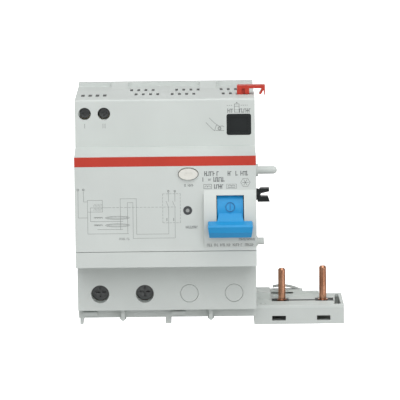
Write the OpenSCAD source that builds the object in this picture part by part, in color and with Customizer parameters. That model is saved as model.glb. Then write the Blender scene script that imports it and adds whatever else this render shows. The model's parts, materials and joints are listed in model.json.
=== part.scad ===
// Residual current block, four modules wide, with a two-pole connecting bar for a circuit breaker.
// Origin: centre of the rail seat. X runs to the right, -Y is the front, +Z is up. Millimetres.

/* [Body] */
// Width of the body
body_w = 70; // [70:0.5:72]
// Distance from the rail seat to the front face of the two shoulders
shoulder_depth = 44; // [43.5:0.5:45]
// Distance from the rail seat to the front face of the nose
nose_depth = 60; // [59.5:0.5:61]
// Height of the nose
nose_h = 45; // [45:0.5:46]
// Height of the top face above the rail's centre line
body_top = 41; // [41:0.1:42]
// Wall thickness of the mouldings
wall = 1.8; // [1.6:0.1:2]

/* [Toggle] */
// Height of the toggle's axis
toggle_z = -2; // [-2.2:0.1:-1.8]
// Radius of the toggle's drum
drum_r = 11.5; // [11.3:0.1:11.6]
// Angle of the handle below the horizontal when off
toggle_rest_angle = 16.2; // [15:0.1:17]

/* [Terminals] */
// Radius of the screwdriver holes of the main terminals
main_hole_r = 3.55; // [3.4:0.05:3.7]
// Radius of the screwdriver holes of the auxiliary terminals
aux_hole_r = 2.45; // [2.3:0.05:2.6]
// Height of the main terminals below the rail's centre line
main_z = -35.7; // [-36:0.1:-35.4]

/* [Connecting bar] */
// Radius of the copper pins
pin_r = 1.45; // [1.3:0.05:1.5]
// Height of the tip of the left copper pin
left_tip_z = -29.8; // [-31:0.1:-29]
// Height of the tip of the right copper pin
right_tip_z = -29; // [-31:0.1:-28.5]
// Height of the bar's top face
bar_top = -42.5; // [-42.7:0.1:-42.4]

/* [Hidden] */
$fn = 48;
eps = 0.1;
half_w = body_w / 2;
in_half = half_w - wall;
nose_low = -nose_h / 2;
nose_front_top = nose_h / 2 - 1.9;
split_y = -36;
rear_y = 6;
cover_low = -42.2;
skirt_low = -46.5;
ridge_top = 42.45;
ridge_y = 0.8;
rail_half = 17.5;
rail_t = 1.3;
seat_half = 15.9;
seat_step = 0.3;
run = 0.05;
strip_top = -16.45;
band_low = 16.9;
toggle_y = -50;
toggle_mid = 24.9;
drum_w = 10;
open_half = 5.3;
open_top = 5.5;
open_low = -9.5;
bulge_r = 22.6;
bulge_y = -40.4;
bulge_z = -3.75;
bulge_x0 = 14.7;
axle_r = 1.5;
trip_y = -30;
trip_z = 1.2;
trip_r = 2;
main_x = [-26.25, -8.75];
blank_x = [8.75, 26.25];
aux_x = [-31.2, -23.7];
aux_z = 35.5;
button_at = [8.85, 13.85];
button_half = [3.7, 2.15];
led_at = [8.5, -0.4];
pin_x = [45.5, 61.8];
pin_y = -22;
bar_x0 = 34.2;
bar_x1 = 69.7;
bar_y0 = -35;
bar_y1 = -9;
bar_low = -50.1;
collar_r = 2;
wire_y = [-18.5, -13.5];
wire_r = 2;
wire_low = -42.4;
wire_end_z = -46;
toroid_y = -16;
latch_x = [-26.25, 26.25];
main_head_y = -38.2;
main_tip_y = -27.2;
main_cage_y = [-29.7, -16.4];
main_entry_y = [-25.6, -18.2];
main_wire_y = -21.8;
aux_head_y = -40.9;
aux_tip_y = -34.4;
aux_cage_y = [-37.1, -29.1];
aux_lead_y = aux_tip_y + 1.4;
post_at = [[-13, 36.5], [15, 36.5], [-17.2, -36.5], [17.2, -36.5]];
shell_grey = [0.78, 0.8, 0.785];
steel = [0.72, 0.72, 0.7];
copper = [0.78, 0.5, 0.36];

// Box between two corners
module box(x0, x1, y0, y1, z0, z1) {
  translate([x0, y0, z0]) cube([x1 - x0, y1 - y0, z1 - z0]);
}

// Round rods along each axis
module x_rod(r, x0, x1, y, z) {
  translate([x0, y, z]) rotate([0, 90, 0]) cylinder(r = r, h = x1 - x0);
}
module y_rod(r, x, y0, y1, z) {
  translate([x, y1, z]) rotate([90, 0, 0]) cylinder(r = r, h = y1 - y0);
}
module z_rod(r, x, y, z0, z1) {
  translate([x, y, z0]) cylinder(r = r, h = z1 - z0);
}

// Outline in Y and Z, extruded along X
module x_prism(points, x0, x1) {
  translate([x0, 0, 0]) rotate([90, 0, 90]) linear_extrude(x1 - x0) polygon(points);
}

// Outline in X and Z, extruded along Y
module y_prism(points, y0, y1) {
  translate([0, y1, 0]) rotate([90, 0, 0]) linear_extrude(y1 - y0) polygon(points);
}

// Plate facing the front, with rounded corners
module round_plate(x0, x1, y0, y1, z0, z1, r) {
  box(x0 + r, x1 - r, y0, y1, z0, z1);
  box(x0, x1, y0, y1, z0 + r, z1 - r);
  for (x = [x0 + r, x1 - r], z = [z0 + r, z1 - r]) y_rod(r, x, y0, y1, z);
}

// Points of an ellipse round a centre
function ellipse(at, a, b) = [for (i = [0:47]) at + [a * cos(i * 7.5), b * sin(i * 7.5)]];

// Straight rod between two points
module rod(a, b, r) {
  d = b - a;
  translate(a) rotate([0, acos(d.z / norm(d)), atan2(d.y, d.x)]) cylinder(r = r, h = norm(d));
}

// Wire along a list of points, with round elbows
module wire(points, r) {
  for (i = [0:len(points) - 2]) rod(points[i], points[i + 1], r);
  for (i = [1:len(points) - 2]) translate(points[i]) sphere(r = r + 0.03);
}

// Coil spring along Z: a sector of a ring, twisted upwards
module coil(r, t, h, turns) {
  reach = 150;
  arc = [for (i = [0:6]) i * reach / 6];
  linear_extrude(height = h, twist = -360 * turns, slices = 12 * turns, segments = 14)
    polygon(concat([for (a = arc) (r + t / 2) * [cos(a), sin(a)]],
                   [for (a = arc) (r - t / 2) * [cos(reach - a), sin(reach - a)]]));
}

// Outline of the front cover, outside and inside
cover_edge_r = 0.8;
cover_outline = concat(
  [[split_y, cover_low], [-shoulder_depth, cover_low], [-shoulder_depth, nose_low],
   [-nose_depth, nose_low], [-nose_depth, nose_front_top], [-shoulder_depth, nose_h / 2]],
  [for (a = [180:-15:90]) [-shoulder_depth + cover_edge_r, body_top - cover_edge_r]
                          + cover_edge_r * [cos(a), sin(a)]],
  [[split_y, body_top]]);
strip_back = 1.4;
cover_hollow = [[split_y + eps, cover_low + wall], [wall - shoulder_depth, cover_low + wall],
  [wall - shoulder_depth, nose_low + wall], [wall + strip_back - nose_depth, nose_low + wall],
  [wall + strip_back - nose_depth, strip_top + 1.5], [wall - nose_depth, strip_top + 1.8],
  [wall - nose_depth, nose_front_top - wall], [wall - shoulder_depth, nose_h / 2 - wall],
  [wall - shoulder_depth, body_top - wall], [split_y + eps, body_top - wall]];

// Wells round the screwdriver holes end just in front of the screw heads
main_well_y = main_head_y - 0.2;
aux_well_y = aux_head_y - 0.2;
module front_cover() color(shell_grey) {
  difference() {
    union() {
      difference() {
        x_prism(cover_outline, -half_w, half_w);
        x_prism(cover_hollow, -in_half, in_half);
      }
      intersection() {
        x_rod(bulge_r, bulge_x0, half_w, bulge_y, bulge_z);
        box(bulge_x0, half_w, -70, wall - nose_depth, -30, 30);
      }
      for (p = post_at) y_rod(2.6, p.x, wall - shoulder_depth - eps, split_y, p.y);
      for (x = main_x) y_rod(main_hole_r + 0.85, x, wall - shoulder_depth - eps, main_well_y, main_z);
      for (x = aux_x) y_rod(aux_hole_r + 0.6, x, wall - shoulder_depth - eps, aux_well_y, aux_z);
    }
    x_rod(drum_r + 0.3, toggle_mid - open_half, toggle_mid + open_half, toggle_y, toggle_z);
    box(toggle_mid - open_half, toggle_mid + open_half, -70, toggle_y, open_low, open_top);
    box(-half_w - eps, half_w + eps, -nose_depth - eps, strip_back - nose_depth,
        nose_low - eps, strip_top + 0.22);
    box(-half_w - eps, half_w + eps, -nose_depth - eps, 0.6 - nose_depth, band_low, nose_front_top + 1);
    round_plate(23.95, 33.55, -shoulder_depth - eps, wall - shoulder_depth + eps, 26.6, 34.95, 0.85);
    for (x = main_x) y_rod(main_hole_r, x, -shoulder_depth - eps, main_well_y + eps, main_z);
    for (x = blank_x) y_rod(main_hole_r, x, -shoulder_depth - eps, wall - shoulder_depth + eps, main_z);
    for (x = aux_x) y_rod(aux_hole_r, x, -shoulder_depth - eps, aux_well_y + eps, aux_z);
    y_prism(ellipse(button_at, button_half.x + 0.3, button_half.y + 0.3), -nose_depth - eps,
            wall - nose_depth + eps);
    y_rod(1.75, led_at.x, -nose_depth - eps, wall - nose_depth + eps, led_at.y);
    for (p = post_at) y_rod(1.3, p.x, -41, split_y + eps, p.y);
  }
}

module lower_strip() color(shell_grey)
  box(-half_w, half_w, -nose_depth, strip_back - nose_depth, nose_low, strip_top);

module red_band() color([0.78, 0.22, 0.18])
  box(-half_w, half_w, -nose_depth, 0.6 - nose_depth, band_low, nose_front_top);

module release_window() color([0.14, 0.16, 0.16]) {
  difference() {
    round_plate(24, 33.5, 0.25 - shoulder_depth, wall - shoulder_depth, 26.65, 34.9, 0.8);
    round_plate(25.2, 32.3, -shoulder_depth, 0.8 - shoulder_depth, 27.8, 33.75, 0.5);
  }
  box(22.9, 33.15, wall - shoulder_depth, wall + 0.8 - shoulder_depth, 25.9, 35.6);
}

module blank_plugs() color(shell_grey)
  for (x = blank_x) {
    y_rod(main_hole_r - 0.15, x, 0.1 - shoulder_depth, wall - shoulder_depth, main_z);
    y_rod(main_hole_r + 0.6, x, wall - shoulder_depth, wall + 1 - shoulder_depth, main_z);
  }

// Slots in the top face, in two staggered rows: Y of the row, X of the first slot, number of slots
vent_pitch = 2.85;
vent_half = [0.55, 3.3];
vents = [[-12.7, -13.4, 4], [-12.7, 4.5, 4], [-12.7, 22.2, 3],
         [-27, -11.4, 4], [-27, 2.8, 4], [-27, 22.9, 2]];
// Slots over the auxiliary terminals, where their wires go in
aux_slots = [-29.6, -32.2, 4];
aux_slot_half = [0.7, 3.4];
slot_wall = 0.6;
slot_margin = 0.9;
module slot_row(row, half) {
  for (i = [0:row[2] - 1])
    translate([row[1] + i * vent_pitch, row[0], body_top - wall / 2])
      cube([2 * half.x, 2 * half.y, wall + 2 * eps], center = true);
  // The wall is thinner round the slots
  box(row[1] - slot_margin, row[1] + (row[2] - 1) * vent_pitch + slot_margin, row[0] - half.y - eps,
      row[0] + half.y + eps, body_top - wall - eps, body_top - slot_wall);
}

// Ramps from the top face up to the ridge, each with a notch at its right end
ramp_x = [[-21.7, -15], [13.6, 20.2]];
ramp_y = -9;
notch_w = 1.3;
notch_t = 0.5;
module ramp(x)
  x_prism([[ramp_y, body_top], [ramp_y, body_top - eps], [ridge_y + eps, body_top - eps],
           [ridge_y + eps, ridge_top], [ridge_y, ridge_top]], x[0], x[1]);
rear_outline = [[split_y, skirt_low], [rear_y, skirt_low], [rear_y, -rail_half - 1],
  [-seat_step, -rail_half - 1], [-seat_step, -seat_half], [0, -seat_half], [0, seat_half],
  [-seat_step, seat_half], [-seat_step, rail_half + 0.7], [rail_t, rail_half + 0.7],
  [rail_t, rail_half - 1.3], [rear_y, rail_half - 1.3], [rear_y, ridge_top], [ridge_y, ridge_top],
  [ridge_y, body_top], [split_y, body_top]];
// Ribs and pads on the front of the skirt
rib_x = [-17.5, 17.1];
rib_half = 0.75;
rib_t = 4;
pad_t = 2.5;
foot_half = 1.2;
pad_x = [-33.2, 1.5];
pad_w = 5.5;
pad_z = [-45.2, -43.9];
clip_slot = [27.8, half_w + eps, -31.5, -28];
latch_half = 5.7;
latch_neck = 5;

// Shallow pockets that lighten the thick back wall: X from and to, Z from and to
back_pockets = [[-33.5, -18.5, 20, 39], [-8.5, 10.5, 20, 39], [19.5, 33.5, 20, 39], [-12.5, 12.5, -43, -22]];
pocket_t = 2;

// Pocket that a rail latch slides in
module latch_pocket(x) {
  box(x - latch_half - 0.15, x + latch_half + 0.15, rail_t - 0.15, 3.95, skirt_low - eps, -rail_half);
  box(x - latch_neck - 0.15, x + latch_neck + 0.15, 3.9, rear_y + eps, skirt_low - eps, -rail_half);
}

module rear_housing() color(shell_grey) {
  for (x = latch_x) box(x - 1.6, x + 1.6, 1, 4.2, -40.9, -39.9);
  difference() {
    union() {
      difference() {
        x_prism(rear_outline, -half_w, half_w);
        box(-in_half, in_half, split_y - eps, -wall, skirt_low + wall, body_top - wall);
      }
      for (p = post_at) y_rod(2.8, p.x, split_y, -wall + eps, p.y);
      // Front of the skirt, below the cover
      box(-half_w, half_w, split_y, split_y + wall, skirt_low, cover_low + wall);
      for (x = ramp_x) ramp(x);
      // Walls beside the main terminals, carried down as fins
      box(-34.5, -33.2, split_y, -12, -49, -28);
      box(-0.8, 1.5, split_y, -22, -49.1, skirt_low + eps);
      box(-0.4, 1.1, split_y, -15, skirt_low, -28);
      box(-18.1, -16.9, split_y, -15, skirt_low, -28);
      for (x = rib_x) {
        box(x - rib_half, x + rib_half, split_y - rib_t, split_y + eps, skirt_low, cover_low - eps);
        y_prism([[x - foot_half, skirt_low + eps], [x, skirt_low - 0.9], [x + foot_half, skirt_low + eps]],
                split_y - rib_t, -24);
      }
      for (x = pad_x) box(x, x + pad_w, split_y - pad_t, split_y + eps, pad_z[0], pad_z[1]);
    }
    for (p = post_at) {
      y_rod(1.5, p.x, split_y - eps, rear_y + eps, p.y);
      y_rod(2.75, p.x, 2.4, rear_y + eps, p.y);
    }
    for (row = vents) slot_row(row, vent_half);
    slot_row(aux_slots, aux_slot_half);
    for (x = ramp_x)
      box(x[1], x[1] + notch_w, ridge_y - eps, ridge_y + notch_t, body_top, ridge_top + eps);
    for (q = back_pockets) box(q[0], q[1], rear_y - pocket_t, rear_y + eps, q[2], q[3]);
    box(clip_slot[0], clip_slot[1], clip_slot[2], clip_slot[3], body_top - wall - eps, body_top + eps);
    for (x = main_x)
      box(x - 4.3, x + 4.3, main_entry_y[0], main_entry_y[1], skirt_low - eps, skirt_low + wall + eps);
    for (x = latch_x) latch_pocket(x);
    box(half_w - 1.1, half_w + eps, bar_y0 - 0.2, bar_y1 + 0.2, skirt_low - eps, bar_top + 0.3);
    box(in_half - eps, half_w + eps, -20.8, -11.2, skirt_low + wall, -40);
    x_rod(trip_r + run, in_half - eps, half_w + eps, trip_y, trip_z);
    x_rod(1.55, in_half - eps, half_w + eps, trip_y, 10.8);
    x_rod(1.4, in_half - eps, half_w + eps, trip_y, -17.5);
  }
}

// Toggle: hollow drum, hub on the axle, neck and wing bar. Drawn level, then turned to off.
neck_outline = [[-10.6, -4.1], [-10.6, 3.9], [-14.2, 1.8], [-14.2, -3.1]];
neck_face = [[-4.3, -10], [4.3, -10], [5.15, -14.2], [-5.15, -14.2]];
wing_outline = [[-14.1, -3.2], [-13.9, 1.8], [-17.6, 1.8], [-18.2, 1.2], [-18.2, -1.1], [-16.7, -3.9]];
wing_face = [[-8.1, -4], [8, -4], [8.6, 1.3], [8.1, 2], [-8.2, 2], [-8.7, 1.3]];
web_half = 2;
mark_angle = -31;
module toggle() color([0.27, 0.61, 0.83])
  translate([toggle_mid, toggle_y, toggle_z]) rotate([toggle_rest_angle, 0, 0]) {
    difference() {
      union() {
        difference() {
          x_rod(drum_r, -drum_w / 2, drum_w / 2, 0, 0);
          x_rod(drum_r - 2, -drum_w / 2 - eps, drum_w / 2 + eps, 0, 0);
          box(-10, 10, 3, 20, -20, 20);
        }
        difference() {
          x_rod(drum_r - 1.9, -web_half, web_half, 0, 0);
          box(-10, 10, 3, 20, -20, 20);
        }
        x_rod(4, -drum_w / 2, web_half, 0, 0);
        rotate([-toggle_rest_angle, 0, 0]) {
          x_rod(1, -web_half, web_half, 5.5, 3.5);
          x_prism([[0, 0], [5, 2.6], [5, 4.4], [0, 3.9]], -web_half, web_half);
        }
        intersection() {
          x_prism(neck_outline, -6, 6);
          translate([0, 0, -5]) linear_extrude(10) polygon(neck_face);
        }
        intersection() {
          x_prism(wing_outline, -9, 9);
          y_prism(wing_face, -20, -10);
        }
      }
      x_rod(axle_r + run, -9, 9, 0, 0);
    }
    // Ring and bar moulded on the drum
    rotate([mark_angle, 0, 0]) difference() {
      y_rod(1.9, 0, -drum_r - 0.15, -drum_r + 0.5, 0);
      y_rod(1.5, 0, -drum_r - 0.25, -drum_r + 0.1, 0);
    }
    rotate([mark_angle, 0, 0]) box(-0.2, 0.2, -drum_r - 0.12, -drum_r + 0.5, -0.9, 0.9);
  }

module toggle_axle() color(steel)
  x_rod(axle_r, 17.4, 32.6, toggle_y, toggle_z);

module toggle_spring() color(steel)
  translate([toggle_mid + web_half + 0.5, toggle_y, toggle_z]) rotate([0, 90, 0]) coil(3, 0.6, 2.3, 3);

// Two cheeks joined behind the relay
cheek = [[-56, -9], [-56, 6], [-44, 13], [-3.1, 13], [-3.1, -11], [-44, -11]];
module mechanism_frame() color(steel)
  difference() {
    union() {
      for (x = [18.4, 30.9]) x_prism(cheek, x, x + 0.8);
      box(18.4, 31.7, -3.9, -3.1, -11, 13);
    }
    x_rod(axle_r, 0, 40, toggle_y, toggle_z);
    x_rod(trip_r + run, 0, 40, trip_y, trip_z);
  }

// Trip shaft: crank arms inside, a coupling claw outside the right wall
claw_outline = [[36, -1.6], [40.8, -1.6], [40.1, 0.4], [37.5, 0.5], [36.9, 1.2], [37.4, 1.8], [40.6, 2.5],
                [40.6, 3.7], [37.2, 3.7], [36, 2.5]];
module trip_shaft() color([0.13, 0.13, 0.14]) {
  x_rod(trip_r, 17.6, 35.6, trip_y, trip_z);
  box(23.3, 26.3, -45.3, trip_y, -1.8, -0.2);
  box(23.3, 26.3, trip_y - 0.9, trip_y + 0.9, -7, trip_z);
  x_rod(2.3, 35.5, 36.4, trip_y, trip_z);
  y_prism(claw_outline, trip_y - 2, trip_y + 2);
}

module trip_relay() color([0.75, 0.76, 0.78])
  difference() {
    box(19.4, 30.7, -21, -4.4, -10, 11);
    y_rod(1.2 + run, 24.8, -22, -12, -5);
    y_rod(0.9, 24.8, -12.5, -9, -5);
  }

module relay_plunger() color([0.85, 0.83, 0.76])
  y_rod(1.2, 24.8, -28.7, -16, -5);

module relay_armature_cap() color([0.2, 0.2, 0.22])
  difference() {
    box(21.4, 28.4, -22.2, -21, -9, 9);
    y_rod(1.35, 24.8, -23, -20, -5);
  }

// Oval cap with a shallow grip recess, a flange behind the nose and a stem
button_out = 1.2;
module test_button() color([0.93, 0.92, 0.88]) {
  difference() {
    y_prism(ellipse(button_at, button_half.x, button_half.y), -nose_depth - button_out, 2 - nose_depth);
    translate([button_at.x, -nose_depth - button_out, button_at.y]) cube([3, 0.4, 1.1], center = true);
  }
  y_prism(ellipse(button_at, button_half.x + 0.9, button_half.y + 0.9), wall + 0.1 - nose_depth,
          wall + 1.1 - nose_depth);
  y_rod(1.2, button_at.x, -58, -52.5, button_at.y);
}

module test_button_spring() color(steel)
  translate([button_at.x, spring_seat_y, button_at.y]) rotate([90, 0, 0])
    coil(2, 0.5, spring_seat_y + nose_depth - wall - 1.1, 4);

// Seat of the button's spring, standing on the board, with a window for the stem
spring_seat_y = -52.2;
module button_seat() color([0.25, 0.25, 0.26])
  difference() {
    union() {
      box(5.4, 12.3, spring_seat_y, spring_seat_y + 0.9, 10, 17.3);
      for (x = [5.4, 11.4]) box(x, x + 0.9, spring_seat_y, -47.6, 10, 17.3);
    }
    y_rod(1.5, button_at.x, -60, -45, button_at.y);
  }

module test_contact() color(copper) {
  box(7.3, 10.4, -50.3, -49.9, 10.4, 16.9);
  box(7.3, 10.4, -50.3, -47.6, 16.5, 16.9);
}

module test_resistor() color([0.3, 0.5, 0.6]) {
  x_rod(1.2, -4, 2.5, -49.2, 14);
  x_rod(0.3, -6, 4.5, -49.2, 14);
  for (x = [-5.7, 4.2]) y_rod(0.3, x, -49.2, -47.6, 14);
}

module led_ring() color([0.2, 0.2, 0.2])
  difference() {
    y_rod(1.7, led_at.x, 0.1 - nose_depth, wall - nose_depth, led_at.y);
    y_rod(0.75, led_at.x, -70, -50, led_at.y);
  }

module led_light_pipe() color([0.9, 0.92, 0.9])
  y_rod(0.7, led_at.x, -nose_depth, -53.2, led_at.y);

module led() color([0.85, 0.9, 0.85]) {
  y_rod(1.5, led_at.x, -51.6, -47.6, led_at.y);
  translate([led_at.x, -51.6, led_at.y]) sphere(r = 1.5 - eps);
}

board_x = [-32, 16];
module circuit_board() color([0.12, 0.38, 0.24])
  difference() {
    box(board_x[0], board_x[1], -47.6, -46, -19, 18);
    for (x = [-30, 14], z = [-17, 16]) y_rod(1.1, x, -48, -45, z);
  }

module chips() color([0.15, 0.15, 0.16]) {
  box(-18, -8, -49.2, -47.6, -6, 0);
  box(-27, -22, -48.9, -47.6, 4, 9);
  box(-4, 1, -48.9, -47.6, -12, -7);
  box(10, 15, -48.8, -47.6, -13, -9);
}

module capacitors() color([0.2, 0.25, 0.4]) {
  for (x = [-27, -20]) y_rod(2.9, x, -56.5, -47.6, -12.5);
  y_rod(2, -12, -54.5, -47.6, 10);
  box(-10, 0, -53.5, -47.6, -18, -14);
}

module board_transformer() color([0.85, 0.75, 0.35]) {
  box(-30, -18, -42.5, -46 + 9, 4, 15);
  box(-28, -20, -46, -42.4, 6, 13);
}

module varistor() color([0.25, 0.4, 0.75]) {
  x_rod(4, -9.4, -6.8, -52.3, 8);
}

// Two ring cores on one axis: one for alternating, one for smooth residual current
core_x = [[-22.6, -14.4], [-11.6, -3.4]];
module ring(r_out, r_in, x0, x1) {
  difference() {
    x_rod(r_out, x0, x1, toroid_y, 0);
    x_rod(r_in, x0 - eps, x1 + eps, toroid_y, 0);
  }
}
module toroid_cores() color([0.35, 0.35, 0.38])
  for (c = core_x) ring(11.8, 7.2, c[0] + 0.8, c[1] - 0.8);

module toroid_coils() color([0.72, 0.42, 0.22])
  for (c = core_x) difference() {
    ring(12.6, 6.3, c[0], c[1]);
    ring(11.8, 7.2, c[0] + 0.8, c[1] - 0.8);
  }

module toroid_holder() color([0.25, 0.25, 0.26])
  difference() {
    union() {
      box(-23.9, -2.1, -28, -4, -15.2, -13.1);
      for (x = [-23.9, -13.5, -3.1])
        box(x, x + 1, -26, -6, -15.2, -6.5);
    }
    ring(13, 0.1, core_x[0][0] - 0.2, core_x[0][1] + 0.2);
    ring(13, 0.1, core_x[1][0] - 0.2, core_x[1][1] + 0.2);
    ring(6.4, 0.1, -30, 3);
  }

// Insulated conductors: from the terminals through both cores and out to the bar
turn_x = 4;
tongue_top = -28.8;
module supply_wires() color([0.2, 0.3, 0.55]) {
  wire([[main_x[0], main_wire_y, tongue_top], [main_x[0], main_wire_y, -26], [main_x[0], wire_y[0], -21],
        [main_x[0], wire_y[0], 0],
        [turn_x, wire_y[0], 0], [turn_x, wire_y[0], wire_low], [36.6, wire_y[0], wire_low],
        [39, wire_y[0], wire_end_z], [41.6, wire_y[0], wire_end_z]], wire_r);
}
module load_wires() color([0.5, 0.3, 0.2]) {
  wire([[main_x[1], main_wire_y, tongue_top], [main_x[1], main_wire_y, -26], [main_x[1], wire_y[1], -20.5],
        [-28.8, wire_y[1], -20.5], [-28.8, wire_y[1], 0], [turn_x, wire_y[1], 0],
        [turn_x, wire_y[1], wire_low], [36.6, wire_y[1], wire_low], [39, wire_y[1], wire_end_z],
        [41.6, wire_y[1], wire_end_z]], wire_r);
}

// Clamp terminal: the screw bears on a fixed plate and lifts the cage towards its head
module clamp_screw(x, z, r, head_r, head_y, head_h, tip_y) {
  difference() {
    union() {
      y_rod(r, x, head_y + head_h - eps, tip_y, z);
      y_rod(head_r, x, head_y, head_y + head_h, z);
    }
    box(x - head_r * 0.6, x + head_r * 0.6, head_y - eps, head_y + head_h / 2, z - 0.4, z + 0.4);
    box(x - 0.4, x + 0.4, head_y - eps, head_y + head_h / 2, z - head_r * 0.6, z + head_r * 0.6);
  }
}
module clamp_cage(x, z, half_x, half_z, y0, y1, t, r) {
  difference() {
    box(x - half_x, x + half_x, y0, y1, z - half_z, z + half_z);
    box(x - half_x + t, x + half_x - t, y0 + 2.4, y1 - t, z - half_z - eps, z + half_z + eps);
    y_rod(r + run, x, y0 - eps, y0 + 2.5, z);
  }
}
module main_screw(x) color(steel) clamp_screw(x, main_z, 2.5, 3.4, main_head_y, 3, main_tip_y);
module main_cage(x) color([0.82, 0.78, 0.62])
  clamp_cage(x, main_z, 5.4, 4.8, main_cage_y[0], main_cage_y[1], 1.5, 2.5);
module main_screw_left() main_screw(main_x[0]);
module main_screw_right() main_screw(main_x[1]);
module main_cage_left() main_cage(main_x[0]);
module main_cage_right() main_cage(main_x[1]);
module main_contacts() color(copper)
  for (x = main_x) {
    box(x - 3.6, x + 3.6, main_tip_y, main_tip_y + 1.4, -42, tongue_top);
    box(x - 3.6, x + 3.6, main_tip_y, main_tip_y + 8, -30.8, tongue_top);
  }

module aux_screw(x) color(steel) clamp_screw(x, aux_z, 1.25, 1.9, aux_head_y, 1.8, aux_tip_y);
module aux_cage(x) color([0.82, 0.78, 0.62])
  clamp_cage(x, aux_z, 1.95, 3, aux_cage_y[0], aux_cage_y[1], 0.6, 1.25);
module aux_screw_left() aux_screw(aux_x[0]);
module aux_screw_right() aux_screw(aux_x[1]);
module aux_cage_left() aux_cage(aux_x[0]);
module aux_cage_right() aux_cage(aux_x[1]);
module aux_contacts() color(copper)
  for (x = aux_x) {
    box(x - 1.25, x + 1.25, aux_tip_y, aux_tip_y + 0.8, 30.4, 38.2);
  }
module aux_leads() color([0.75, 0.72, 0.3])
  for (x = aux_x)
    wire([[x, aux_lead_y, 31.4], [x, aux_lead_y, 24], [x + 3, -41, 18.9], [x + 3, -43.4, 16.6],
          [x + 3, -46, 16.6]], 0.6);

// Red locking clip on the top face; its foot slides in the slot
module lock_clip() color([0.76, 0.2, 0.17]) {
  difference() {
    union() {
      box(28.3, 33.1, -31, -26, body_top + 0.05, 43.4);
      box(28.3, 39.3, -31, -26.6, 43.3, 44.5);
    }
    box(30.1, 31.4, -31.1, -30, body_top, 43.2);
  }
  y_prism([[38.2, 43.4], [39.3, 43.4], [39.3, 40.7], [38.95, 40.7], [38.7, 42.6], [37.7, 40.9],
           [36.9, 41.1]], -31, -26.6);
  box(28.5, 30.7, -31.2, -28.3, body_top - wall - 0.2, body_top + 0.1);
  box(28.2, 30.7, -32.2, -27.3, body_top - wall - 1.3, body_top - wall - 0.15);
}

module rail_latch(x) color([0.2, 0.21, 0.22])
  difference() {
    union() {
      box(x - latch_half, x + latch_half, rail_t, 3.8, -45.5, -18.9);
      box(x - latch_neck, x + latch_neck, 3.7, 5.4, -48.4, -16.9);
      x_prism([[rail_t, -18.9], [rail_t, -16.6], [2.3, -16.2], [5.4, -16.2], [5.4, -18.9]],
              x - latch_neck, x + latch_neck);
    }
    box(x - 2.2, x + 2.2, 0, 4.4, -41, -30);
    box(x - 3, x + 3, 4.6, 7, -47.6, -46.4);
  }
module rail_latch_left() rail_latch(latch_x[0]);
module rail_latch_right() rail_latch(latch_x[1]);
module rail_latch_springs() color(steel)
  for (x = latch_x) translate([x, 2.8, -39.8]) coil(1, 0.4, 9.7, 8);

module upper_guide_pin() color(shell_grey) {
  x_rod(1.55, 32.5, 42.2, trip_y, 10.8);
  translate([42.2, trip_y, 10.8]) sphere(r = 1.55);
  x_rod(2.5, half_w, 36.3, trip_y, 10.8);
}
module lower_guide_pin() color(shell_grey) {
  x_rod(1.4, 32.5, 38.4, trip_y, -17.5);
  x_rod(2, half_w, 35.9, trip_y, -17.5);
}

// Screws that hold the shell together, with a cross recess in each head
cross_half = [1.7, 0.35];
cross_t = 1.1;
module housing_screws() color(steel)
  for (p = post_at) difference() {
    union() {
      y_rod(1.3, p.x, -40.8, 2.6, p.y);
      y_rod(2.6, p.x, 2.4, 4.4, p.y);
    }
    for (h = [cross_half, [cross_half.y, cross_half.x]])
      box(p.x - h.x, p.x + h.x, 4.4 - cross_t, 4.5, p.y - h.y, p.y + h.y);
  }

// Connecting bar under the breaker
bar_wall = 1.3;
slot_x = [[41.4, 48.2], [58.7, 66]];
front_slot_x = [[41.3, 46.7], [59, 64.3]];
cover_t = 1.2;
module bar_body() color(shell_grey)
  difference() {
    box(bar_x0, bar_x1, bar_y0, bar_y1, bar_low, bar_top - cover_t);
    box(bar_x0 + bar_wall, bar_x1 - bar_wall, bar_y0 + bar_wall, bar_y1 - bar_wall, bar_low + bar_wall, 0);
    for (s = front_slot_x) box(s[0], s[1], bar_y0 - eps, bar_y0 + bar_wall + eps, -48.7, -46.8);
    box(bar_x0 - eps, bar_x0 + bar_wall + eps, -20.8, -11.2, bar_low + 3, 0);
  }
// The cover is raised over the wires, and has a grooved block and a step behind the pins
hood = [40.9, -22, -10, -39.6];
block = [54, -13, -40.3];
step = [60.6, -12, -41.4];
small_slot_x = [36.4, 38.1];
seal_y = [-25.1, -22];
module bar_cover() color(shell_grey)
  difference() {
    union() {
      box(35.05, bar_x1, bar_y0, bar_y1, bar_top - cover_t, bar_top);
      box(35.05, hood[0], hood[1], hood[2], bar_top - eps, hood[3]);
      box(hood[0] - eps, block[0], block[1], bar_y1, bar_top - eps, block[2]);
      box(block[0] - eps, step[0], step[1], bar_y1, bar_top - eps, step[2]);
    }
    box(35, hood[0] - 0.8, -20.8, -11.2, bar_top - cover_t - eps, hood[3] - 0.7);
    box(hood[0] + 0.6, 50.2, block[1] - eps, block[1] + 2.4, bar_top + 0.6, bar_top + 1.3);
    for (s = slot_x) box(s[0], s[1], -26, -18.4, bar_top - 2, bar_top + eps);
    for (x = small_slot_x) box(x, x + 1, -32.2, -30.8, bar_top - 0.6, bar_top + eps);
    translate([0, 0, bar_top - 2]) linear_extrude(2 + eps)
      polygon([[65.9, -33], [68.5, -33], [68.3, -11], [67.1, -11]]);
    box(slot_x[0][1] - eps, slot_x[1][0] + eps, seal_y[0], seal_y[1], bar_top - 0.6, bar_top + eps);
  }
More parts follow.
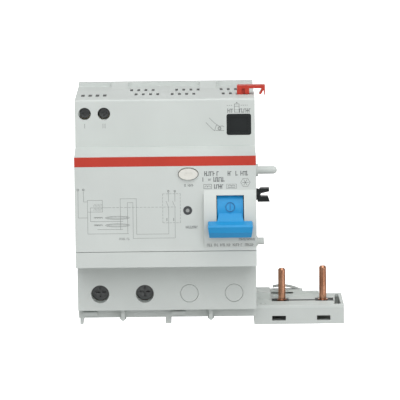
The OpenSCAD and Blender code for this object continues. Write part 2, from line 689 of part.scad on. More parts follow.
// Dark seal: a pad round each pin, and a strip in the groove between them
module pin_seal() color([0.13, 0.13, 0.14])
  difference() {
    union() {
      for (s = slot_x)
        box(s[0] + run, s[1] - run, run - 26, -18.4 - run, bar_top - 2, bar_top - 0.35);
      box(slot_x[0][1] - 1, slot_x[1][0] + 1, seal_y[0] + run, seal_y[1] - run, bar_top - 0.6 + run,
          bar_top - 0.1);
    }
    for (x = pin_x) z_rod(collar_r + run, x, pin_y, bar_top - 3, bar_top + 1);
  }
// Springy finger that steadies the breaker above the bar, standing on the block
finger_r = 16.9;
finger_t = 0.7;
finger_at = [45.6, -55.4];
module bar_finger() color(shell_grey)
  intersection() {
    difference() {
      y_rod(finger_r, finger_at.x, -12, -9.6, finger_at.y);
      y_rod(finger_r - finger_t, finger_at.x, -13, -9, finger_at.y);
    }
    box(42.1, 56, -13, -9, block[2], -38);
  }

pin_tip = 0.6;
module copper_pins() color(copper)
  for (p = [[pin_x[0], left_tip_z], [pin_x[1], right_tip_z]]) {
    z_rod(collar_r, p.x, pin_y, busbar_z[0] - 0.2, bar_top + 0.1);
    z_rod(pin_r, p.x, pin_y, bar_top, p.y - pin_tip);
    translate([p.x, pin_y, p.y - pin_tip]) cylinder(r1 = pin_r, r2 = pin_r - 0.5, h = pin_tip);
  }

// Flat copper bars inside the trough, each with a hole for its pin
busbar_z = [-46.6, -45.4];
module busbar(x0, x1, y0, y1) box(x0, x1, y0, y1, busbar_z[0], busbar_z[1]);
module pin_hole(x) z_rod(collar_r, x, pin_y, busbar_z[0] - 1, busbar_z[1] + 1);
module front_busbar() color(copper)
  difference() {
    union() {
      busbar(42.2, 49, -24.8, -19.2);
      busbar(41.6, 43.6, -24.8, -16.6);
    }
    pin_hole(pin_x[0]);
  }
module rear_busbar() color(copper)
  difference() {
    union() {
      busbar(41.6, 65, -15.6, -11.6);
      busbar(58.6, 65, -24.8, -15.5);
    }
    pin_hole(pin_x[1]);
  }

rear_housing();
front_cover();
lower_strip();
red_band();
release_window();
blank_plugs();
toggle();
toggle_axle();
toggle_spring();
mechanism_frame();
trip_shaft();
trip_relay();
relay_plunger();
relay_armature_cap();
test_button();
test_button_spring();
button_seat();
test_contact();
test_resistor();
led_ring();
led_light_pipe();
led();
circuit_board();
chips();
capacitors();
board_transformer();
varistor();
toroid_cores();
toroid_coils();
toroid_holder();
supply_wires();
load_wires();
main_screw_left();
main_screw_right();
main_cage_left();
main_cage_right();
main_contacts();
aux_screw_left();
aux_screw_right();
aux_cage_left();
aux_cage_right();
aux_contacts();
aux_leads();
lock_clip();
rail_latch_left();
rail_latch_right();
rail_latch_springs();
upper_guide_pin();
lower_guide_pin();
housing_screws();
bar_body();
bar_cover();
pin_seal();
bar_finger();
copper_pins();
front_busbar();
rear_busbar();
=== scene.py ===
"""Residual current block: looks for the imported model. Metres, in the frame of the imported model."""

import json
import math

import bmesh
import bpy
from mathutils import Matrix, Vector


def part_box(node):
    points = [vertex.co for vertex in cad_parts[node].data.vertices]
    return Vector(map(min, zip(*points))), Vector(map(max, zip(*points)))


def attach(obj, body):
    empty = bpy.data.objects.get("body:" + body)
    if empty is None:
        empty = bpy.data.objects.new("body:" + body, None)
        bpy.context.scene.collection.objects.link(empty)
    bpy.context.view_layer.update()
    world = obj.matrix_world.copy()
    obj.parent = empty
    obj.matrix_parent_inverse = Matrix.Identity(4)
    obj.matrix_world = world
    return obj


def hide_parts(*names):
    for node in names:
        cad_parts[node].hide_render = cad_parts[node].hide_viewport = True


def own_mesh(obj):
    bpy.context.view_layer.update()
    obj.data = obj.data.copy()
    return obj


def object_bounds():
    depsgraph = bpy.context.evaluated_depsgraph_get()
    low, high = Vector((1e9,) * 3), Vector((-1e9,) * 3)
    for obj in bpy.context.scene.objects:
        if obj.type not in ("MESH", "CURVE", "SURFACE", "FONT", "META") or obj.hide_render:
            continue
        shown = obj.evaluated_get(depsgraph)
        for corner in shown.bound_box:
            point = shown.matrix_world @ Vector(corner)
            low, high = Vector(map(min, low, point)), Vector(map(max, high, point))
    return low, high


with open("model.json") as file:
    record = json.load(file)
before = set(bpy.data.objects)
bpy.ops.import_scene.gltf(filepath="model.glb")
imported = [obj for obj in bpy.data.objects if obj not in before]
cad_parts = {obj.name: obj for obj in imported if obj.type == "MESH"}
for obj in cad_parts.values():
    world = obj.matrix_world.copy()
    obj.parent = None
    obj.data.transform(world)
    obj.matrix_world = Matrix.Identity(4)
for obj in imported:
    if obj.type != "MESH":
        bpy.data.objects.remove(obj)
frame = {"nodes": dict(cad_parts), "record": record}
NODES = frame["nodes"]
CAD_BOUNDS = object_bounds()
MM = 0.001
HOUSING = "housing"


# ---------------------------------------------------------------- materials
def new_material(name):
    """An empty node material with a Principled shader, and short ways to add nodes to it."""
    mat = bpy.data.materials.new(name)
    mat.use_nodes = True
    tree = mat.node_tree
    shader = next(n for n in tree.nodes if n.type == "BSDF_PRINCIPLED")
    return mat, tree, shader


def add(tree, kind, **settings):
    """A new node, with its settings or input defaults given by name."""
    node = tree.nodes.new(kind)
    for key, value in settings.items():
        name = key.replace("_", " ").title()
        if name in node.inputs:
            node.inputs[name].default_value = value
        else:
            setattr(node, key, value)
    return node


def object_coordinates(tree, stretch=(1, 1, 1)):
    """Object coordinates in metres, stretched along each axis."""
    coords = add(tree, "ShaderNodeTexCoord")
    mapping = add(tree, "ShaderNodeMapping")
    mapping.inputs["Scale"].default_value = stretch
    tree.links.new(coords.outputs["Object"], mapping.inputs["Vector"])
    return mapping.outputs["Vector"]


def noise(tree, vector, scale, detail=3.0, roughness=0.5):
    """Noise whose grain is 1/scale metres."""
    node = add(tree, "ShaderNodeTexNoise", scale=scale, detail=detail, roughness=roughness)
    tree.links.new(vector, node.inputs["Vector"])
    return node.outputs["Fac"]


def blend_colours(tree, factor, low, high):
    """A colour between low and high, as the factor goes from 0.3 to 0.7."""
    ramp = add(tree, "ShaderNodeValToRGB")
    ramp.color_ramp.elements[0].position = 0.3
    ramp.color_ramp.elements[1].position = 0.7
    ramp.color_ramp.elements[0].color = (*low, 1)
    ramp.color_ramp.elements[1].color = (*high, 1)
    tree.links.new(factor, ramp.inputs["Fac"])
    return ramp.outputs["Color"]


def spread(tree, factor, low, high):
    """A number between low and high, as the factor goes from 0.3 to 0.7."""
    node = add(tree, "ShaderNodeMapRange")
    for name, value in (("From Min", 0.3), ("From Max", 0.7), ("To Min", low), ("To Max", high)):
        node.inputs[name].default_value = value
    tree.links.new(factor, node.inputs["Value"])
    return node.outputs["Result"]


def roughen(tree, shader, height, depth, strength=1.0):
    """Bump from a height between 0 and 1, over a depth in metres."""
    bump = add(tree, "ShaderNodeBump", strength=strength, distance=depth)
    tree.links.new(height, bump.inputs["Height"])
    tree.links.new(bump.outputs["Normal"], shader.inputs["Normal"])


def tinted(colour, share):
    """The colour made lighter or darker by a share."""
    return tuple(max(0.0, min(1.0, c * (1 + share))) for c in colour)


def moulded_plastic(name, colour, rough=0.45, grain=3200, depth=0.012 * MM, drift=0.03, shine=0.45):
    """Moulded plastic: spark-eroded grain, slow drift of tone, and slightly uneven gloss."""
    mat, tree, shader = new_material(name)
    coords = object_coordinates(tree)
    fine = noise(tree, coords, grain, 4.0, 0.6)
    slow = noise(tree, coords, 45, 2.0)
    tone = blend_colours(tree, slow, tinted(colour, -drift), tinted(colour, drift))
    tree.links.new(tone, shader.inputs["Base Color"])
    tree.links.new(spread(tree, fine, rough - 0.05, rough + 0.06), shader.inputs["Roughness"])
    roughen(tree, shader, fine, depth)
    shader.inputs["Specular IOR Level"].default_value = shine
    return mat


def within(tree, number, low, high):
    """1 where a number lies between two limits, otherwise 0."""
    node = add(tree, "ShaderNodeMath", operation="COMPARE")
    node.inputs[1].default_value = (low + high) / 2
    node.inputs[2].default_value = (high - low) / 2
    tree.links.new(number, node.inputs[0])
    return node.outputs["Value"]


def times(tree, first, second):
    """The product of two numbers."""
    node = add(tree, "ShaderNodeMath", operation="MULTIPLY")
    tree.links.new(first, node.inputs[0])
    tree.links.new(second, node.inputs[1])
    return node.outputs["Value"]


def vented_plastic(name, colour, dark, low, high):
    """Moulded plastic with painted shade: a dark colour between two corners, on the walls of the vents."""
    mat = moulded_plastic(name, colour, rough=0.55, shine=0.28)
    tree = mat.node_tree
    shader = next(n for n in tree.nodes if n.type == "BSDF_PRINCIPLED")
    tone = shader.inputs["Base Color"].links[0].from_socket
    place = add(tree, "ShaderNodeSeparateXYZ")
    tree.links.new(object_coordinates(tree), place.inputs["Vector"])
    in_x, in_y, in_z = [within(tree, place.outputs[axis], start, end)
                        for axis, start, end in zip("XYZ", low, high)]
    # Painted shade: 1 inside the block of the vent walls, where the shell colour is darkened to stand for
    # shade
    painted_shade_mask = times(tree, times(tree, in_x, in_y), in_z)
    mix = add(tree, "ShaderNodeMix", data_type="RGBA")
    mix.inputs["B"].default_value = (*dark, 1)
    tree.links.new(painted_shade_mask, mix.inputs["Factor"])
    tree.links.new(tone, mix.inputs["A"])
    tree.links.new(mix.outputs["Result"], shader.inputs["Base Color"])
    return mat


def drawn_metal(name, colour, rough=0.32, stretch=(1, 1, 1), grain=2500, drift=0.12, stain=None):
    """Metal with draw or roll marks along the axis with the smallest stretch."""
    mat, tree, shader = new_material(name)
    streaks = noise(tree, object_coordinates(tree, stretch), grain, 3.0, 0.65)
    slow = noise(tree, object_coordinates(tree), 160, 3.0)
    tone = blend_colours(tree, slow, stain or tinted(colour, -drift), tinted(colour, drift))
    tree.links.new(tone, shader.inputs["Base Color"])
    shader.inputs["Metallic"].default_value = 1.0
    tree.links.new(spread(tree, streaks, rough - 0.08, rough + 0.12), shader.inputs["Roughness"])
    roughen(tree, shader, streaks, 0.01 * MM)
    return mat


def circuit_board_material(name):
    """Green solder mask over copper tracks, with glass weave showing faintly."""
    mat, tree, shader = new_material(name)
    coords = object_coordinates(tree)
    tracks = add(tree, "ShaderNodeTexBrick", scale=420.0, mortar_size=0.03, bias=-0.2)
    tracks.inputs["Color1"].default_value = (0.018, 0.12, 0.055, 1)
    tracks.inputs["Color2"].default_value = (0.03, 0.18, 0.085, 1)
    tracks.inputs["Mortar"].default_value = (0.05, 0.26, 0.12, 1)
    turned = add(tree, "ShaderNodeMapping")
    turned.inputs["Rotation"].default_value = (math.radians(90), 0, 0)
    tree.links.new(coords, turned.inputs["Vector"])
    tree.links.new(turned.outputs["Vector"], tracks.inputs["Vector"])
    tree.links.new(tracks.outputs["Color"], shader.inputs["Base Color"])
    weave = noise(tree, coords, 5200, 2.0)
    tree.links.new(spread(tree, weave, 0.25, 0.4), shader.inputs["Roughness"])
    roughen(tree, shader, tracks.outputs["Fac"], 0.03 * MM)
    return mat


def lens_material(name):
    """Clear moulded lens, a little milky inside."""
    mat, tree, shader = new_material(name)
    cloud = noise(tree, object_coordinates(tree), 2600, 2.0)
    tone = blend_colours(tree, cloud, (0.55, 0.58, 0.565), (0.66, 0.68, 0.67))
    tree.links.new(tone, shader.inputs["Base Color"])
    tree.links.new(spread(tree, cloud, 0.08, 0.2), shader.inputs["Roughness"])
    shader.inputs["Transmission Weight"].default_value = 0.45
    shader.inputs["IOR"].default_value = 1.49
    return mat


SHELL = (0.585, 0.62, 0.6)
# Painted shade: the dark colour given to the vent walls in place of their shade
VENT_PAINTED_SHADE = (0.22, 0.232, 0.225)
# Corners of a block that holds the walls of all the vents, and stays just under the top face; inside it the
# shell colour is darkened as painted shade
VENT_LOW = (-0.0336, -0.0332, 0.0385)
VENT_HIGH = (0.0336, -0.009, 0.04095)
MATERIALS = {
    "shell": moulded_plastic("shell_plastic", SHELL, rough=0.55, shine=0.28),
    "vented_shell": vented_plastic("vented_plastic", SHELL, VENT_PAINTED_SHADE, VENT_LOW, VENT_HIGH),
    # Painted shade: the shell plastic made darker for the bar, which gets less light
    "bar_shell_painted_shade": moulded_plastic("bar_plastic_painted_shade", tinted(SHELL, -0.08), rough=0.55, shine=0.28),
    "finger_shell": moulded_plastic("finger_plastic", tinted(SHELL, -0.35), rough=0.5),
    "deep_steel": drawn_metal("shaded_steel", (0.11, 0.115, 0.115), 0.5, (1, 0.2, 1)),
    "red_plastic": moulded_plastic("red_plastic", (0.5, 0.043, 0.025), rough=0.38, drift=0.05, shine=0.35),
    "blue_plastic": moulded_plastic("blue_plastic", (0.02, 0.285, 0.6), rough=0.36, drift=0.04, shine=0.25),
    "black_plastic": moulded_plastic("black_plastic", (0.012, 0.015, 0.0155), rough=0.42, drift=0.15,
                                     shine=0.3),
    "button_white": moulded_plastic("button_plastic", (0.7, 0.695, 0.645), rough=0.35, drift=0.02),
    "dark_plastic": moulded_plastic("dark_plastic", (0.06, 0.065, 0.068), rough=0.5, drift=0.12),
    "ivory_plastic": moulded_plastic("ivory_plastic", (0.7, 0.66, 0.53), rough=0.4),
    "component_dark": moulded_plastic("chip_plastic", (0.03, 0.03, 0.034), rough=0.55, grain=5000),
    "component_blue": moulded_plastic("component_blue", (0.05, 0.1, 0.32), rough=0.4, drift=0.08),
    "yellow_tape": moulded_plastic("yellow_tape", (0.76, 0.52, 0.08), rough=0.3, grain=900),
    "core": moulded_plastic("core_coating", (0.09, 0.09, 0.1), rough=0.6, grain=1500, depth=0.04 * MM),
    "wire_blue": moulded_plastic("blue_insulation", (0.025, 0.09, 0.38), rough=0.35),
    "wire_brown": moulded_plastic("brown_insulation", (0.2, 0.08, 0.035), rough=0.35),
    "wire_yellow": moulded_plastic("yellow_insulation", (0.66, 0.55, 0.1), rough=0.35),
    "steel": drawn_metal("zinc_plated_steel", (0.62, 0.62, 0.6), 0.35, (1, 0.2, 1)),
    "dark_steel": drawn_metal("blackened_steel", (0.16, 0.165, 0.165), 0.42, (1, 0.2, 1)),
    "cage_steel": drawn_metal("passivated_steel", (0.66, 0.6, 0.42), 0.34, (1, 0.2, 1),
                              stain=(0.5, 0.5, 0.42)),
    "copper": drawn_metal("bare_copper", (0.62, 0.33, 0.21), 0.2, (1, 1, 0.08), stain=(0.42, 0.19, 0.11)),
    "winding": drawn_metal("enamelled_wire", (0.6, 0.22, 0.07), 0.25, (1, 1, 1), stain=(0.42, 0.13, 0.04)),
    "relay_can": drawn_metal("relay_can", (0.68, 0.69, 0.71), 0.3, (0.1, 1, 1)),
    "board": circuit_board_material("solder_mask"),
    "clear_lens": lens_material("clear_lens"),
}


def finish_material(obj, mat):
    """Puts one material in every slot of an object."""
    if not obj.data.materials:
        obj.data.materials.append(mat)
    for slot in obj.material_slots:
        slot.material = mat


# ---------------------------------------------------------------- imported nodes
# Edge width in mm, by material slot, and by node where it differs
EDGE = {
    "shell": 0.3, "red_plastic": 0.12, "blue_plastic": 0.4, "black_plastic": 0.15, "button_white": 0.3,
    "dark_plastic": 0.2, "steel": 0.12, "dark_steel": 0.15, "cage_steel": 0.15, "copper": 0.1,
    "relay_can": 0.4,
}
# pin_seal is dark plastic: a real seal round the pins, and between the pin slots a dark strip that is
# painted shade for the groove's shadow line
FINE_EDGE = {
    "rear_housing": 0.12, "bar_cover": 0.1, "pin_seal": 0.05, "bar_finger": 0.08, "lower_strip": 0.1,
    "red_band": 0.05, "blank_plugs": 0.12, "led_ring": 0.05, "copper_pins": 0.08,
}
OTHER_EDGE = 0.1
# Nodes that look different from the rest of their slot; the rear housing's vent walls and the bar carry
# painted shade
OTHER_MATERIAL = {"rear_housing": "vented_shell", "bar_body": "bar_shell_painted_shade", "bar_finger": "finger_shell",
                  "aux_screw_left": "deep_steel", "aux_screw_right": "deep_steel"}
NO_BEVEL = {"toggle_spring", "test_button_spring", "rail_latch_springs"}


def soften_edges(obj, width):
    """Small moulding radius on every edge, with even shading on the flats."""
    weld = obj.modifiers.new("weld", "WELD")
    weld.merge_threshold = 0.002 * MM
    bevel = obj.modifiers.new("edge", "BEVEL")
    bevel.width = width * MM
    bevel.segments = 2
    bevel.limit_method = "ANGLE"
    bevel.angle_limit = math.radians(28)
    bevel.use_clamp_overlap = True
    bevel.harden_normals = True
    normals = obj.modifiers.new("normals", "WEIGHTED_NORMAL")
    normals.keep_sharp = True


for part in frame["record"]["subparts"]:
    node_name, slot_name = part["node"], part["material_slot"]
    cad_object = NODES[node_name]
    finish_material(cad_object, MATERIALS[OTHER_MATERIAL.get(node_name, slot_name)])
    if node_name not in NO_BEVEL:
        soften_edges(cad_object, FINE_EDGE.get(node_name, EDGE.get(slot_name, OTHER_EDGE)))


def compressing_spring(node_name, joint_name, middle=0.0, side=0):
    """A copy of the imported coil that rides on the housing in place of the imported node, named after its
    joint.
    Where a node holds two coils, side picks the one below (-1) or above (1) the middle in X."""
    coil = bmesh.new()
    coil.from_mesh(NODES[node_name].data)
    coil.transform(NODES[node_name].matrix_world)
    others = [v for v in coil.verts if side * (v.co.x - middle) < 0]
    bmesh.ops.delete(coil, geom=others, context="VERTS")
    mesh = bpy.data.meshes.new(joint_name + "_spring")
    coil.to_mesh(mesh)
    coil.free()
    spring = bpy.data.objects.new(joint_name + "_spring", mesh)
    bpy.context.scene.collection.objects.link(spring)
    finish_material(spring, MATERIALS["steel"])
    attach(spring, HOUSING)
    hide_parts(node_name)
    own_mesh(spring)


def compress_springs():
    """The button's spring and both latch springs, each put in place of its imported node by a copy that
    rides on the housing.
    """
    low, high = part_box("test_button_spring")
    compressing_spring("test_button_spring", "test_button_press")
    low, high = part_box("rail_latch_springs")
    for side, name in ((-1, "rail_latch_left_pull"), (1, "rail_latch_right_pull")):
        foot = ((low.x + high.x) / 2, (low.y + high.y) / 2, low.z)
        compressing_spring("rail_latch_springs", name, foot[0], side)


compress_springs()


# ---------------------------------------------------------------- printed marks
INK = (0.13, 0.14, 0.14)
PALE_INK = (0.26, 0.28, 0.272)
DRUM_INK = (0.012, 0.16, 0.38)
# Faces that carry marks, in mm, and how far the ink stands in front of them
NOSE_Y = -60.0
SHOULDER_Y = -44.0
BULGE_Y, BULGE_Z, BULGE_R = -40.4, -3.75, 22.6
TOGGLE_Y, TOGGLE_Z = -50.0, -2.0
MARK_R = 11.65
MARK_TILT = math.radians(14.8)
PROUD = 0.02


def ink_material(name, colour):
    """Pad-printed ink: slightly uneven, with a dull sheen."""
    mat, tree, shader = new_material(name)
    grain = noise(tree, object_coordinates(tree), 5200, 3.0, 0.6)
    tone = blend_colours(tree, grain, tinted(colour, -0.15), tinted(colour, 0.2))
    tree.links.new(tone, shader.inputs["Base Color"])
    tree.links.new(spread(tree, grain, 0.45, 0.65), shader.inputs["Roughness"])
    return mat


class Print:
    """Printed marks on a face that runs along X, gathered into a thin mesh. Positions are X and Z in mm."""

    def __init__(self, name, face_y, mat, width=0.14, body=HOUSING):
        """face_y is the face's Y in mm, or a function that gives Y for a Z."""
        self.name, self.mat, self.width, self.body = name, mat, width, body
        self.face_y = face_y if callable(face_y) else lambda z: face_y
        self.mesh = bmesh.new()

    def patch(self, corners):
        """A filled shape with its corners given in order, anticlockwise from the front."""
        verts = [self.mesh.verts.new((x * MM, (self.face_y(z) - PROUD) * MM, z * MM)) for x, z in corners]
        self.mesh.faces.new(verts)

    def stroke(self, a, b, width=None):
        """A straight line with square ends."""
        half = (width or self.width) / 2
        along = Vector((b[0] - a[0], b[1] - a[1])).normalized() * half
        across = Vector((-along.y, along.x))
        a, b = Vector(a) - along, Vector(b) + along
        self.patch([a - across, b - across, b + across, a + across])

    def line(self, points, width=None):
        """Straight lines from point to point."""
        for a, b in zip(points, points[1:]):
            self.stroke(a, b, width)

    def dashes(self, a, b, dash=0.7, gap=0.5, width=None):
        """A dashed line."""
        a, b = Vector(a), Vector(b)
        length = (b - a).length
        unit = (b - a) / length
        at = 0.0
        while at < length:
            self.stroke(a + unit * at, a + unit * min(at + dash, length), width)
            at += dash + gap

    def oval(self, centre, half_x, half_z, width=None, steps=28):
        """The outline of an ellipse."""
        points = [(centre[0] + half_x * math.cos(math.tau * i / steps),
                   centre[1] + half_z * math.sin(math.tau * i / steps)) for i in range(steps + 1)]
        self.line(points, width)

    def box(self, x0, x1, z0, z1, width=None):
        """The outline of a rectangle."""
        self.line([(x0, z0), (x1, z0), (x1, z1), (x0, z1), (x0, z0)], width)

    def squiggle(self, x0, x1, z, turns, height):
        """A row of half rings, as a winding is drawn."""
        radius = (x1 - x0) / turns / 2
        for i in range(turns):
            centre = x0 + radius * (2 * i + 1)
            arc = [math.pi * k / 6 for k in range(7)]
            self.line([(centre - radius * math.cos(a), z + height * math.sin(a)) for a in arc])

    def scribble(self, x0, x1, z, height, seed, weight=0.16):
        """Unreadable filler where a line of print would be: upright strokes, cross strokes and gaps."""
        at, state = x0, seed
        stem = height * weight
        while at < x1 - stem:
            state = (state * 73 + 41) % 101
            pitch = height * (0.38 + 0.22 * (state % 5) / 4)
            if state % 7 != 0:
                top = z + height / 2 if state % 3 else z + height * 0.3
                self.stroke((at, z - height / 2), (at, top), stem)
                level = z + height * (0.42, -0.42, 0.0)[state % 3]
                self.stroke((at, level), (min(at + pitch * 0.62, x1), level), stem)
            at += pitch

    def finish(self):
        """Hands the marks over as one piece that rides on its body."""
        mesh = bpy.data.meshes.new(self.name)
        self.mesh.to_mesh(mesh)
        self.mesh.free()
        obj = bpy.data.objects.new(self.name, mesh)
        bpy.context.scene.collection.objects.link(obj)
        finish_material(obj, self.mat)
        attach(obj, self.body)


def print_supply_leads(marks):
    """Two leads that come down into the electronics, with terminal ticks."""
    marks.line([(-33.7, 7.7), (-33.7, -2.84), (-30.3, -2.84)])
    marks.line([(-31.6, 7.3), (-31.6, 3.4), (-30.3, 3.4)])
    for x in (-33.7, -31.6):
        marks.oval((x, 8.1), 0.35, 0.35)


def print_electronics(marks):
    """The electronics block, with its two hatched parts and its link to the contacts."""
    marks.line([(-30.1, 3.94), (-24.34, 3.94), (-24.34, -0.58), (-30.1, -0.58)])
    marks.line([(-30.1, 3.94), (-30.1, -9.15), (-14.4, -9.15)])
    for z in (2.0, 0.5):
        for i in range(6):
            marks.stroke((-27.7 + i * 0.55, z - 0.5), (-27.4 + i * 0.55, z + 0.5), 0.12)
    marks.stroke((-29, 1.05), (-21, 1.05))
    marks.dashes((-20.4, 1.05), (3.8, 1.05), 0.9, 0.6)
    marks.line([(-29, 1.05), (-29, -4.3), (-27.4, -4.3)])
    for z in (-3.1, -6.0):
        marks.squiggle(-27.6, -24.4, z, 5, 0.45)


def print_toroids(marks):
    """Two sensing rings, drawn as double ovals, with their winding leads."""
    for z in (-2.93, -5.86):
        marks.oval((-18.6, z), 4.6, 0.62)
        marks.oval((-18.6, z), 3.9, 0.28, 0.1)
    marks.stroke((-27.4, -4.37), (-16.6, -4.37))
    marks.stroke((-26.3, -7.44), (-16.6, -7.44))


def print_conductors(marks):
    """Both conductors, looped through the rings and on to the contacts."""
    marks.line([(-17.45, -7.6), (-17.45, 4.46), (-11.26, 4.46), (-11.26, -9.44), (1.14, -9.44), (1.14, 0.9)])
    marks.line([(-14.7, -9), (-14.7, 2.92), (-12.6, 2.92), (-12.6, -11.03), (3.62, -11.03), (3.62, 0.9)])


def print_contacts(marks):
    """The pair of contacts inside a dashed frame."""
    for x in (1.14, 3.62):
        marks.stroke((x, 6.9), (x, 3.2))
        marks.stroke((x, 1.0), (x - 0.9, 3.3))
        marks.oval((x, 7.2), 0.3, 0.3)
    marks.dashes((-1.1, 6.2), (-1.1, -5), 0.8, 0.5)
    marks.dashes((5.7, 6.2), (5.7, -5), 0.8, 0.5)
    marks.dashes((-1.1, 6.2), (5.7, 6.2), 0.8, 0.5)
    marks.dashes((-1.1, -5.1), (5.7, -5.1), 0.8, 0.5)
    for x in (0.45, 3.07):
        marks.stroke((x, -4.3), (x, -3.4), 0.3)


def print_circuit_diagram(ink):
    """The wiring diagram on the nose."""
    marks = Print("printed_diagram", NOSE_Y, ink)
    print_supply_leads(marks)
    print_electronics(marks)
    print_toroids(marks)
    print_conductors(marks)
    print_contacts(marks)
    marks.scribble(-18, -13.9, -11.2, 0.8, 5)
    marks.finish()


def print_ratings(ink):
    """Filler rows where the ratings stand, a waveform box and a snowflake ring, none of it readable."""
    marks = Print("printed_ratings", NOSE_Y, ink)
    marks.scribble(14.0, 22.4, 13.9, 1.6, 17, 0.18)
    marks.scribble(24.2, 25.7, 13.9, 1.6, 2, 0.18)
    marks.scribble(27.2, 31.7, 13.9, 1.6, 8, 0.18)
    marks.stroke((14.5, 10.9), (14.5, 12.3), 0.3)
    marks.scribble(16.6, 17.6, 11.5, 0.8, 5)
    marks.scribble(18.7, 23.1, 11.6, 1.6, 29, 0.18)
    marks.box(14.8, 17.8, 8.0, 9.7)
    marks.squiggle(15.2, 17.4, 8.6, 2, 0.5)
    marks.scribble(18.9, 22.7, 8.85, 1.5, 3, 0.18)
    marks.box(23.6, 27.4, 8.0, 9.7, 0.1)
    marks.stroke((24.2, 8.5), (26.8, 8.5), 0.2)
    marks.squiggle(24.2, 26.8, 8.9, 2, 0.4)
    middle = Vector((30.85, 10.3))
    marks.oval(middle, 1.8, 1.8, 0.12, 6)
    for k in range(3):
        turn = math.radians(60 * k)
        arm = Vector((math.cos(turn), math.sin(turn))) * 1.2
        marks.stroke(middle - arm, middle + arm)
    marks.scribble(7.4, 10.9, 9.4, 0.85, 11)
    marks.scribble(7.8, 12.6, -6.9, 0.95, 7)
    marks.finish()


def bulge_face(z):
    """Y of the round front of the bulge at a height, in mm."""
    return BULGE_Y - math.sqrt(BULGE_R ** 2 - (z - BULGE_Z) ** 2)


def print_bulge_rows(ink):
    """Two filler rows on the bulge, under the toggle."""
    marks = Print("printed_bulge_rows", bulge_face, ink)
    marks.scribble(28.2, 34.3, -11.6, 0.9, 13)
    marks.scribble(15.9, 34.3, -13.9, 1.05, 25)
    marks.finish()


def drum_face(z):
    """Y of the flat, tilted face of the mark moulded on the toggle's drum, at a height, in mm."""
    return TOGGLE_Y - (MARK_R - (z - TOGGLE_Z) * math.sin(MARK_TILT)) / math.cos(MARK_TILT)


def print_drum_mark(ink):
    """The ring and stroke on the drum, picked out in a darker blue."""
    marks = Print("drum_mark", drum_face, ink, 0.3, "toggle")
    marks.oval((24.9, 0.95), 1.72, 1.66)
    marks.stroke((24.9, 0.1), (24.9, 1.75), 0.36)
    marks.finish()


def print_shoulder_marks(ink):
    """Over the release window: a small device outline with an arrow and filler on both sides."""
    marks = Print("printed_shoulder_marks", SHOULDER_Y, ink)
    marks.box(27.1, 28.9, 35.6, 38.8, 0.16)
    marks.stroke((27.1, 37.9), (28.9, 37.9), 0.12)
    marks.stroke((27.1, 36.5), (28.9, 36.5), 0.12)
    marks.patch([(27.6, 39.1), (28.4, 39.1), (28.0, 39.6)])
    marks.scribble(23.6, 26.8, 36.2, 1.5, 19)
    marks.scribble(29.1, 33.3, 36.2, 1.5, 23)
    marks.dashes((24.2, 38.3), (26.2, 38.3), 0.3, 0.5, 0.16)
    marks.dashes((29.6, 38.3), (32.2, 38.3), 0.3, 0.5, 0.16)
    marks.finish()


def print_pushing_finger(ink):
    """Beside the release window: a finger that pushes."""
    marks = Print("printed_finger", SHOULDER_Y, ink, 0.2)
    marks.line([(16.0, 31.6), (18.3, 29.2), (19.3, 28.4)])
    marks.line([(17.3, 33.4), (19.2, 31.5), (20.4, 30.6), (21.2, 30.1), (22.3, 30.3), (23.0, 29.9)])
    marks.line([(19.3, 28.4), (19.9, 30.4), (20.4, 30.6)])
    marks.line([(19.8, 28.5), (22.9, 28.4)])
    marks.oval((21.2, 29.3), 0.55, 0.55)
    marks.finish()


def print_auxiliary_numbers(ink):
    """Plain strokes under the two auxiliary terminals, one and two."""
    marks = Print("printed_terminal_marks", SHOULDER_Y, ink, 0.2)
    marks.stroke((-31.2, 31.6), (-31.2, 30.0))
    for x in (-24.1, -23.3):
        marks.stroke((x, 31.6), (x, 30.0))
    marks.finish()


DARK_INK_MATERIAL = ink_material("dark_ink", INK)
PALE_INK_MATERIAL = ink_material("pale_ink", PALE_INK)
BLUE_INK_MATERIAL = ink_material("blue_ink", DRUM_INK)
print_circuit_diagram(PALE_INK_MATERIAL)
print_ratings(DARK_INK_MATERIAL)
print_shoulder_marks(DARK_INK_MATERIAL)
print_pushing_finger(PALE_INK_MATERIAL)
print_auxiliary_numbers(PALE_INK_MATERIAL)
print_bulge_rows(DARK_INK_MATERIAL)
print_drum_mark(BLUE_INK_MATERIAL)


# ---------------------------------------------------------------- stage
FLOOR_DROP = 0.4
FLOOR_GLOW = 0.21
WALL_GLOW = 1.05
GLOW_START, GLOW_END = 0.9, 1.5
WALL_HEIGHT = 0.95


def floor_material():
    """Pale grey, turning white and self-lit well behind the object."""
    mat, tree, shader = new_material("pale_floor")
    coords = object_coordinates(tree)
    tone = blend_colours(tree, noise(tree, coords, 3, 2.0), (0.53, 0.53, 0.53), (0.57, 0.57, 0.57))
    tree.links.new(tone, shader.inputs["Base Color"])
    shader.inputs["Roughness"].default_value = 0.9
    shader.inputs["Specular IOR Level"].default_value = 0.1
    shader.inputs["Emission Color"].default_value = (1, 1, 1, 1)
    parts = add(tree, "ShaderNodeSeparateXYZ")
    tree.links.new(coords, parts.inputs["Vector"])
    glow = add(tree, "ShaderNodeMapRange")
    for name, value in (("From Min", GLOW_START), ("From Max", GLOW_END),
                        ("To Min", FLOOR_GLOW), ("To Max", WALL_GLOW)):
        glow.inputs[name].default_value = value
    tree.links.new(parts.outputs["Y"], glow.inputs["Value"])
    tree.links.new(glow.outputs["Result"], shader.inputs["Emission Strength"])
    return mat


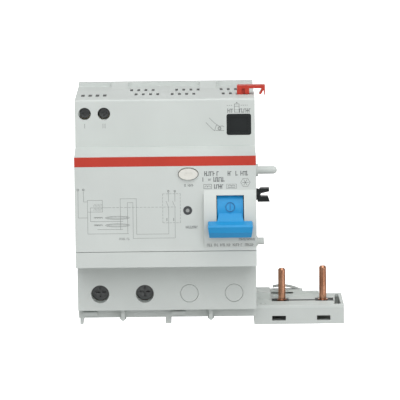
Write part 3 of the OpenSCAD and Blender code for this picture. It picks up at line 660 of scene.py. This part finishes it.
def build_floor(lowest):
    """A round floor well under the object, curving up into a low wall all round."""
    work = bmesh.new()
    flat, bend, steps = 2.1, 0.5, 64
    profile = [(flat * i / 6, 0.0) for i in range(1, 7)]
    profile += [(flat + bend * math.sin(a), bend * (1 - math.cos(a)))
                for a in [math.radians(d) for d in range(10, 91, 10)]]
    profile.append((flat + bend, WALL_HEIGHT))
    rings = [[work.verts.new((r * math.cos(math.tau * i / steps), r * math.sin(math.tau * i / steps), z))
              for i in range(steps)] for r, z in profile]
    work.faces.new(rings[0])
    for inner, outer in zip(rings, rings[1:]):
        for i in range(steps):
            j = (i + 1) % steps
            work.faces.new((inner[i], outer[i], outer[j], inner[j]))
    mesh = bpy.data.meshes.new("floor")
    work.to_mesh(mesh)
    work.free()
    floor = bpy.data.objects.new("floor", mesh)
    floor.location = (0, 0, lowest - FLOOR_DROP)
    bpy.context.scene.collection.objects.link(floor)
    finish_material(floor, floor_material())


def build_light(name, place, aim, size, watts):
    """A soft white square lamp that looks at a point."""
    lamp = bpy.data.lights.new(name, "AREA")
    lamp.shape = "SQUARE"
    lamp.size = size
    lamp.energy = watts
    obj = bpy.data.objects.new(name, lamp)
    obj.location = place
    obj.rotation_mode = "QUATERNION"
    obj.rotation_quaternion = (Vector(aim) - Vector(place)).to_track_quat("-Z", "Y")
    bpy.context.scene.collection.objects.link(obj)


def build_camera():
    """Long lens, a little above the object and square to its front."""
    distance, elevation, roll = 1.2946, math.radians(8.596), math.radians(-0.654)
    target = Vector((0.0133, -0.044, 0.00123))
    back = Vector((0, -math.cos(elevation), math.sin(elevation)))
    right = Vector((1, 0, 0))
    up = back.cross(right)
    side = right * math.cos(roll) + up * math.sin(roll)
    top = up * math.cos(roll) - right * math.sin(roll)
    data = bpy.data.cameras.new("camera")
    data.sensor_width = 36
    data.lens = 298.6
    data.clip_start, data.clip_end = 0.05, 20
    camera = bpy.data.objects.new("camera", data)
    rotation = Matrix((side, top, back)).transposed()
    camera.matrix_world = Matrix.Translation(target + back * distance) @ rotation.to_4x4()
    bpy.context.scene.collection.objects.link(camera)
    bpy.context.scene.camera = camera


def build_world(low, high):
    """White light from all round, brightest near the horizon."""
    world = bpy.data.worlds.new("studio")
    world.use_nodes = True
    tree = world.node_tree
    background = next(n for n in tree.nodes if n.type == "BACKGROUND")
    coords = add(tree, "ShaderNodeTexCoord")
    parts = add(tree, "ShaderNodeSeparateXYZ")
    tree.links.new(coords.outputs["Generated"], parts.inputs["Vector"])
    ramp = add(tree, "ShaderNodeValToRGB")
    ramp.color_ramp.elements[0].position = 0.15
    ramp.color_ramp.elements[1].position = 0.5
    ramp.color_ramp.elements[0].color = (low, low, low, 1)
    ramp.color_ramp.elements[1].color = (high, high, high, 1)
    tree.links.new(parts.outputs["Z"], ramp.inputs["Fac"])
    tree.links.new(ramp.outputs["Color"], background.inputs["Color"])
    bpy.context.scene.world = world


build_camera()
build_world(0.6, 0.33)
build_floor(CAD_BOUNDS[0].z)
build_light("front_light", (0.05, -0.87, 0.66), (0.01, -0.04, 0), 1.0, 8.15)
build_light("top_light", (0.1, -0.1, 0.95), (0.01, -0.03, 0), 0.7, 3.2)
build_light("side_light", (0.6, -0.62, -0.08), (0.05, -0.02, -0.03), 0.25, 0.5)
bpy.context.scene.view_settings.view_transform = "Standard"
